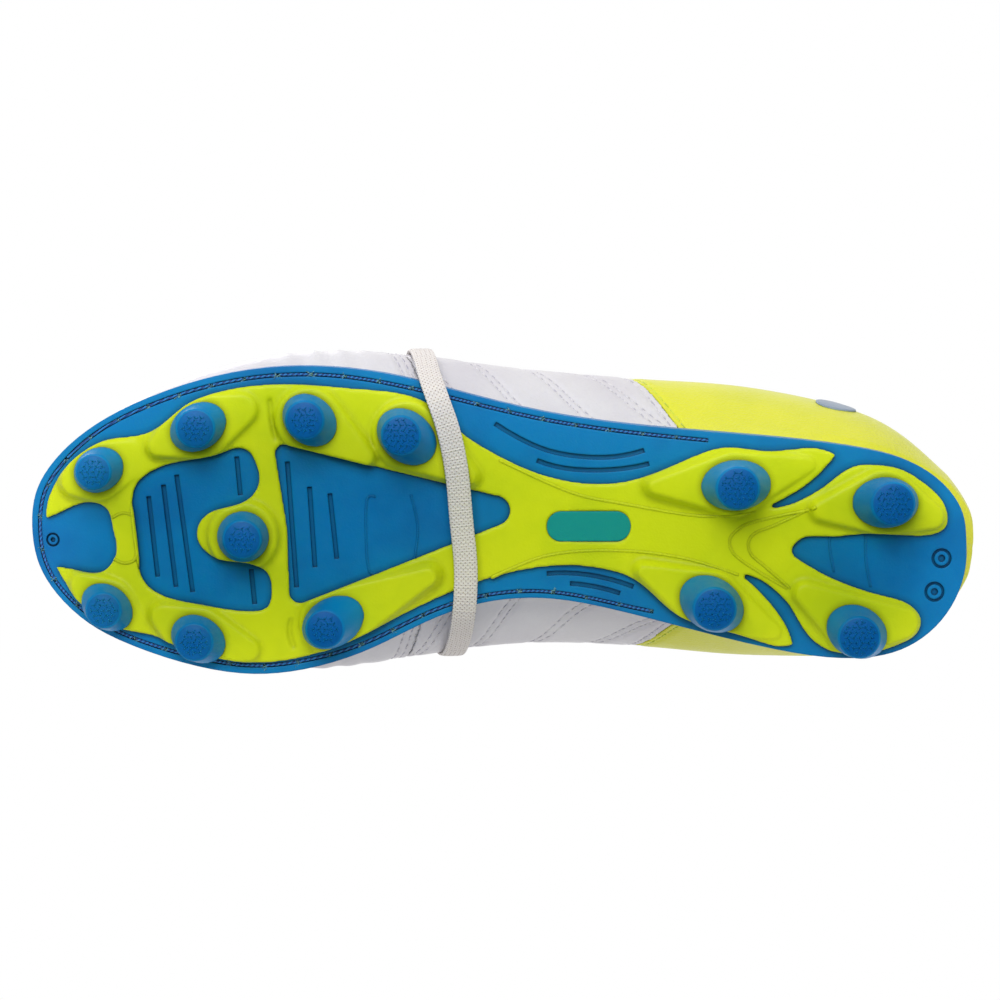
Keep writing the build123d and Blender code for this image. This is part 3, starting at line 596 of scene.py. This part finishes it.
def ribbon(name, centres, outs, width=LACE_WIDTH, thick=LACE_THICK):
    """A flat woven band along a path, with its faces square to the given directions."""
    points, faces, marks = [], [], []
    walked = 0.0
    for index, (centre, out) in enumerate(zip(centres, outs)):
        before, after = centres[max(index - 1, 0)], centres[min(index + 1, len(centres) - 1)]
        along = (after - before).normalized()
        across = along.cross(out).normalized()
        out = across.cross(along).normalized()
        if index:
            walked += (centre - centres[index - 1]).length
        for step in range(RIBBON_SIDES):
            turn = 2 * math.pi * step / RIBBON_SIDES
            wide, high = math.cos(turn), math.sin(turn)
            wide = math.copysign(abs(wide) ** EDGE_POWER, wide)
            high = math.copysign(abs(high) ** FACE_POWER, high)
            rib = 1 + RIB_SWELL * math.sin(2 * math.pi * walked / RIB_STEP)
            points.append(centre + across * wide * width / 2 + out * high * rib * thick / 2)
            marks.append((walked, wide * width / 2))
    add_tube(faces, 0, len(centres), RIBBON_SIDES)
    piece = new_piece(name, points, faces)
    layer = piece.data.uv_layers.new(name="UVMap")
    for loop in piece.data.loops:
        layer.data[loop.index].uv = marks[loop.vertex_index]
    return finish_piece(piece, lace_weave, "boot")


def smooth_path(points, step=0.0003):
    """Points at even steps along a smooth line through the given ones."""
    data = bpy.data.curves.new("path", "CURVE")
    data.dimensions = "3D"
    spline = data.splines.new("NURBS")
    spline.points.add(len(points) - 1)
    for index, point in enumerate(points):
        spline.points[index].co = (*point, 1)
    spline.order_u = 3
    spline.use_endpoint_u = True
    spline.resolution_u = 24
    holder = link("path", data)
    graph = bpy.context.evaluated_depsgraph_get()
    line = bpy.data.meshes.new_from_object(holder.evaluated_get(graph))
    spots = [v.co.copy() for v in line.vertices]
    bpy.data.objects.remove(holder)
    lengths = np.concatenate([[0], np.cumsum([(b - a).length for a, b in zip(spots, spots[1:])])])
    samples = np.linspace(0, lengths[-1], max(2, int(lengths[-1] / step)))
    table = np.array([tuple(s) for s in spots])
    return [Vector([float(np.interp(s, lengths, table[:, axis])) for axis in range(3)]) for s in samples]


WRAP_ROUTE = [
    (-30, 1, 78.6), (-30, -11, 77.2), (-29, -24, 72.2), (-27.5, -36.5, 63.4), (-26, -46, 50.8),
    (-24.5, -50.4, 37), (-22.5, -47.6, 25.5), (-21, -43, 16), (-19, -38, 10), (-15, -27, 9.1),
    (-12.5, -14, 9.2), (-11.5, 0, 10.2), (-10, 13, 10.6), (-10.3, 24, 11.4), (-11, 30.2, 15),
    (-12, 36.8, 23.5), (-14.5, 44.6, 37), (-17.5, 43.2, 49.5), (-21.5, 38, 61.5),
    (-26, 28.6, 70.8), (-29, 16, 76.6), (-30, 7, 78.4),
]  # fmt: skip
route = smooth_path([spot(*point) for point in WRAP_ROUTE])
wrap_middle = Vector((0, SHIFT.y, 42 * MM))
outs = []
for point in route:
    out = point - wrap_middle
    out.x = 0
    outs.append(out.normalized())
lace_wrap = ribbon("lace_wrap_woven", route, outs)
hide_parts("lace_wrap")

# ---------------------------------------------------------------- lacing over the throat
THROAT_FRONT, THROAT_FRONT_HALF = -42.0, 7.5
THROAT_BACK, THROAT_BACK_HALF = 70.0, 17.5
EYELET_INSET = 5.5
EYELET_ROWS = [-31.0, -18.5, -6.0, 6.5, 19.0, 31.5]
CROSS_HUMP = 1.5 * MM
eyelets = {-1: [], 1: []}
for x in EYELET_ROWS:
    share = (x - THROAT_FRONT) / (THROAT_BACK - THROAT_FRONT)
    half_throat = THROAT_FRONT_HALF + share * (THROAT_BACK_HALF - THROAT_FRONT_HALF)
    for side in (-1, 1):
        eyelets[side].append((x, THROAT_MIDDLE + side * (half_throat + EYELET_INSET)))

lacing_tree = surface_tree([nodes["lacing"]])
RUN_POINTS = 90
HUMP_SHARE = 0.2  # how much of a run the hump over another run takes up
END_DIP, DIP_SHARE = 2.2 * MM, 0.1  # how far a run's ends go down, and over how much of it
RUN_LEAN = 14  # how fast a run's face turns outward, per metre from the middle


def lacing_run(name, start, end, hump):
    """One run of the lace from eyelet to eyelet, over or under the run that it crosses."""
    centres = []
    for share in np.linspace(0, 1, RUN_POINTS):
        plan = [start[axis] + (end[axis] - start[axis]) * share for axis in range(2)]
        above = spot(*plan, 150)
        hit, _, _, _ = lacing_tree.ray_cast(above, Vector((0, 0, -1)))
        low = hit if hit else centres[-1]
        height = low.z - LACE_THICK / 2 + hump * math.exp(-(((share - 0.5) / HUMP_SHARE) ** 2))
        edge = min(share, 1 - share)
        height -= END_DIP * max(0, 1 - edge / DIP_SHARE) ** 2
        centres.append(Vector((above.x, above.y, height)))
    outs = [Vector((0, (c.y - MIDDLE_Y) * RUN_LEAN, 1)).normalized() for c in centres]
    return ribbon(name, centres, outs, width=LACE_WIDTH * 0.9)


runs = [lacing_run("lacing_bar", eyelets[-1][0], eyelets[1][0], 0.0)]
for row in range(len(EYELET_ROWS) - 1):
    over = CROSS_HUMP if row % 2 else 0.0
    under = CROSS_HUMP - over
    runs.append(lacing_run(f"lacing_rising_{row}", eyelets[-1][row], eyelets[1][row + 1], over))
    runs.append(lacing_run(f"lacing_falling_{row}", eyelets[1][row], eyelets[-1][row + 1], under))
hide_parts("lacing")

knot_low, knot_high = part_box("lace_knot")
knot_middle = (knot_low + knot_high) / 2
KNOT_REACH = Vector((1.9, 2.2, 1.2)) * MM
KNOT_STEPS = 160
knot_points, knot_outs = [], []
for step in range(KNOT_STEPS + 1):
    turn = 2 * math.pi * step / KNOT_STEPS
    knot_x = math.sin(turn) + 2 * math.sin(2 * turn)
    knot_y = math.cos(turn) - 2 * math.cos(2 * turn)
    loop = Vector((knot_x, knot_y, -math.sin(3 * turn)))
    knot_points.append(knot_middle + Vector([a * b for a, b in zip(loop, KNOT_REACH)]))
    knot_outs.append((knot_points[-1] - knot_middle + Vector((0, 0, 4 * MM))).normalized())
knot = ribbon("lace_knot_tied", knot_points, knot_outs, width=4.6 * MM, thick=1.5 * MM)
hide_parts("lace_knot")

# ---------------------------------------------------------------- stud tips
TIP_CELL = 1.75 * MM  # spacing of the raised marks
TIP_STROKE = 0.85 * MM
TIP_RADIUS = 0.19 * MM  # of a stroke
TIP_ROWS = range(-5, 6)
TIP_REACH = 0.86  # the marks end at this share of the tip's radius
DISC_SIDES = 48
DISC_RINGS = ((0.97, 0.0), (0.93, -0.1 * MM), (0.0, -0.1 * MM))  # share of the radius, and height
dice = random.Random(7)
tip_points, tip_faces = [], []
disc_points, disc_faces = [], []
for name in sorted(n for n in nodes if n.startswith("stud_")):
    places, _ = read_points(nodes[name].data)
    floor_z = float(places[:, 2].min())
    ring = places[places[:, 2] < floor_z + 0.02 * MM]
    centre = Vector([float(v) for v in (ring.max(0) + ring.min(0)) / 2])
    reach = float((ring.max(0) - ring.min(0))[0]) / 2
    base = len(disc_points)
    for share, height in DISC_RINGS:
        radius = reach * share
        for side in range(DISC_SIDES):
            turn = 2 * math.pi * side / DISC_SIDES
            disc_points.append(centre + Vector((radius * math.cos(turn), radius * math.sin(turn), height)))
    for low in (base, base + DISC_SIDES):
        high = low + DISC_SIDES
        for side in range(DISC_SIDES):
            after = (side + 1) % DISC_SIDES
            disc_faces.append((low + side, high + side, high + after, low + after))
    for row in TIP_ROWS:
        for column in TIP_ROWS:
            x = (column + (row % 2) / 2) * TIP_CELL
            y = row * TIP_CELL * math.sqrt(3) / 2
            if math.hypot(x, y) > reach * TIP_REACH:
                continue
            middle = centre + Vector((x, y, -0.12 * MM))
            start_turn = dice.choice((0, math.pi / 3)) + dice.uniform(-0.12, 0.12)
            for arm in range(3):
                turn = start_turn + arm * 2 * math.pi / 3
                tip = middle + Vector((math.cos(turn), math.sin(turn), 0)) * TIP_STROKE
                add_capsule(tip_points, tip_faces, middle, tip, TIP_RADIUS, sides=5)
discs = new_piece("stud_tip_discs", disc_points, disc_faces)
finish_piece(discs, tip_blue, "boot")
marks = new_piece("stud_tip_marks", tip_points, tip_faces)
finish_piece(marks, mark_blue, "boot")

# ---------------------------------------------------------------- raised lines of the web
RIDGES = [
    [(0, -17.5), (21, -8), (37, -4.5), (60, -1), (76, -2.5)],
    [(-4, 18), (14, 11), (34, 9.5), (54, 11.5), (71, 16.5)],
    [(91.5, -3), (76, 0.5), (71.5, 2.5), (68.5, 6), (70, 10.5), (77, 15.5), (85.5, 20.5)],
    [(93.5, -4), (82, 1.5), (76, 4), (74, 7), (75, 10.5), (79, 14), (86.5, 20.5)],
    [(-115.5, -0.5), (-112, -2), (-108.5, -0.5), (-107.8, 5), (-108.5, 11.5), (-112, 13), (-115.5, 11.5)],
]  # fmt: skip
PANEL_STEPS = [
    [(-37, -7), (-39.5, -6), (-39.8, 5), (-39, 15), (-36.5, 16)],
    [(-26.5, -7.5), (-24.5, 2), (-25.5, 12)],
    [(100, -3.5), (98.5, 1), (98.2, 8), (99.5, 15.5)],
    [(110.5, -4), (109, 2), (109, 12), (110.5, 20)],
]
RIDGE_RADIUS = 0.6 * MM
RIDGE_DROP = 1.2 * MM  # a ridge is broken where the surface steps more than this
RIDGE_OVERLAP = 0.4  # how far the short pieces of a ridge reach into each other, as a share of one


def ridge_mesh(name, lines, node, material, sink):
    """Soft ridges along plan-view lines, half sunk in a node's underside."""
    tree = surface_tree([nodes[node]])
    points, faces = [], []
    for line in lines:
        path = []
        for x, y in through(line, 14):
            below = spot(x, y, -5)
            hit, _, _, _ = tree.ray_cast(below, Vector((0, 0, 1)))
            if hit:
                path.append(hit + Vector((0, 0, sink)))
        for start, end in zip(path, path[1:]):
            if abs(start.z - end.z) < RIDGE_DROP:
                first = start + (start - end) * RIDGE_OVERLAP
                last = end + (end - start) * RIDGE_OVERLAP
                add_capsule(points, faces, first, last, RIDGE_RADIUS)
    return finish_piece(new_piece(name, points, faces), material, "boot")


ridge_mesh("web_ridges", RIDGES, "sole_web", web_lime, 0.26 * MM)
ridge_mesh("panel_steps", PANEL_STEPS, "outsole_plate", plate_blue, 0.32 * MM)

# ---------------------------------------------------------------- frayed ends of the sole's thread
stitch_places, _ = read_points(nodes["sole_stitching"].data)
FRAY_STRANDS = 5
FRAY_RADIUS = 0.17 * MM
FRAY_SHORTEST, FRAY_LONGEST = 0.8, 1.6  # millimetres
FRAY_ROOT = 0.3 * MM  # how far a strand starts inside the stitch
fray_points, fray_faces = [], []
owners = list(range(len(stitch_places)))


def owner(index):
    """The first vertex of the stitch that a vertex belongs to."""
    while owners[index] != index:
        owners[index] = owners[owners[index]]
        index = owners[index]
    return index


for first, second in (edge.vertices for edge in nodes["sole_stitching"].data.edges):
    owners[owner(first)] = owner(second)
groups = {}
for index in range(len(stitch_places)):
    groups.setdefault(owner(index), []).append(index)
for members in groups.values():
    cloud = stitch_places[members]
    axis = int(np.argmax(cloud.max(0) - cloud.min(0)))
    end = Vector([float(v) for v in cloud[cloud[:, axis].argmax()]])
    for _ in range(FRAY_STRANDS):
        way = Vector((dice.uniform(-1, 1), dice.uniform(-1, 1), dice.uniform(-0.5, 0.1))).normalized()
        tip = end + way * dice.uniform(FRAY_SHORTEST, FRAY_LONGEST) * MM
        add_capsule(fray_points, fray_faces, end - way * FRAY_ROOT, tip, FRAY_RADIUS, sides=5)
frayed_ends = new_piece("frayed_ends", fray_points, fray_faces)
finish_piece(frayed_ends, fray_thread, "boot")

# ---------------------------------------------------------------- finishes of the CAD pieces
FINISHES = {
    "outsole_plate": plate_blue, "sole_web": web_lime, "arch_badge": badge_teal,
    "sole_stitching": blue_thread, "lasting_board": board, "toe_puff": foam,
    "vamp_backing": foam, "heel_counter": foam,
}  # fmt: skip
SOFTENED = {"sole_web": 0.0005}  # voxel sizes, in metres
STUD_VOXEL = 0.0004
SHARP_ANGLE = math.radians(32)  # edges that turn more than this stay crisp
for node, cad in nodes.items():
    is_stud = node.startswith("stud_")
    material = stud_blue if is_stud else FINISHES.get(node)
    if not material:
        continue
    cad.data.materials.clear()
    cad.data.materials.append(material)
    cad.data.shade_smooth()
    if is_stud or node in SOFTENED:
        add_softening(cad, SOFTENED.get(node, STUD_VOXEL), 6)
    else:
        crisp = cad.modifiers.new("crisp", "EDGE_SPLIT")
        crisp.split_angle = SHARP_ANGLE

# ---------------------------------------------------------------- camera, light and floor
VIEW_WIDTH = 0.297  # metres across the picture at the sole
CAMERA_DISTANCE = 0.8
CAMERA_TILT = math.radians(5)  # towards the lateral side
SENSOR = 36.0
aim = spot(0, -6, 13)
camera_data = bpy.data.cameras.new("camera")
camera_data.sensor_width = SENSOR
camera_data.lens = SENSOR * CAMERA_DISTANCE / VIEW_WIDTH
camera = link("camera", camera_data)
back = Vector((0, -math.sin(CAMERA_TILT), -math.cos(CAMERA_TILT)))
camera.location = aim + back * CAMERA_DISTANCE
look, up = -back, Vector((0, -1, 0))
right = look.cross(up).normalized()
up = right.cross(look)
camera.rotation_mode = "QUATERNION"
camera.rotation_quaternion = Matrix((right, up, -look)).transposed().to_quaternion()
bpy.context.scene.camera = camera
bpy.context.scene.view_settings.view_transform = "Standard"


def area_light(name, place, size, power):
    """A square lamp that faces the boot."""
    data = bpy.data.lights.new(name, "AREA")
    data.size = size
    data.energy = power
    lamp = link(name, data)
    lamp.location = place
    lamp.rotation_mode = "QUATERNION"
    lamp.rotation_quaternion = (aim - Vector(place)).to_track_quat("-Z", "Y")


area_light("key_below", place=(-0.1, -0.55, -0.75), size=0.6, power=6.0)
area_light("fill_below", place=(0.3, 0.6, -0.8), size=0.9, power=1.6)
area_light("key_above", place=(-0.5, -0.7, 1.0), size=0.6, power=5.0)
area_light("fill_above", place=(0.8, 0.6, 0.7), size=0.9, power=1.5)
world = bpy.data.worlds.new("world")
world.use_nodes = True
tree = world.node_tree
upward = tree.nodes.new("ShaderNodeSeparateXYZ")
tree.links.new(tree.nodes.new("ShaderNodeTexCoord").outputs["Generated"], upward.inputs[0])
SKY_LOW, SKY_HIGH = (0.40, 0.40, 0.41, 1), (1.0, 1.0, 1.0, 1)
sky = mixed(tree, upward.outputs["Z"], SKY_LOW, SKY_HIGH, low=0.5, high=0.9)
tree.links.new(sky, tree.nodes["Background"].inputs["Color"])
bpy.context.scene.world = world

FLOOR_HALF, FLOOR_Z = 1.5, -0.0004  # metres
square = ((-1, -1), (1, -1), (1, 1), (-1, 1))
corners = [(x * FLOOR_HALF, y * FLOOR_HALF, FLOOR_Z) for x, y in square]
floor = new_piece("floor", corners, [(0, 1, 2, 3)])
floor_material, tree, shader, _ = start_material("floor", 0.7)
shader.inputs["Base Color"].default_value = (0.8, 0.8, 0.8, 1)
# Clear from below, because the camera looks up at the sole through the floor.
facing = tree.nodes.new("ShaderNodeNewGeometry").outputs["Backfacing"]
clear = tree.nodes.new("ShaderNodeBsdfTransparent")
choose = tree.nodes.new("ShaderNodeMixShader")
tree.links.new(facing, choose.inputs["Fac"])
tree.links.new(shader.outputs[0], choose.inputs[1])
tree.links.new(clear.outputs[0], choose.inputs[2])
tree.links.new(choose.outputs[0], tree.nodes["Material Output"].inputs["Surface"])
floor.data.materials.append(floor_material)
floor.visible_shadow = False
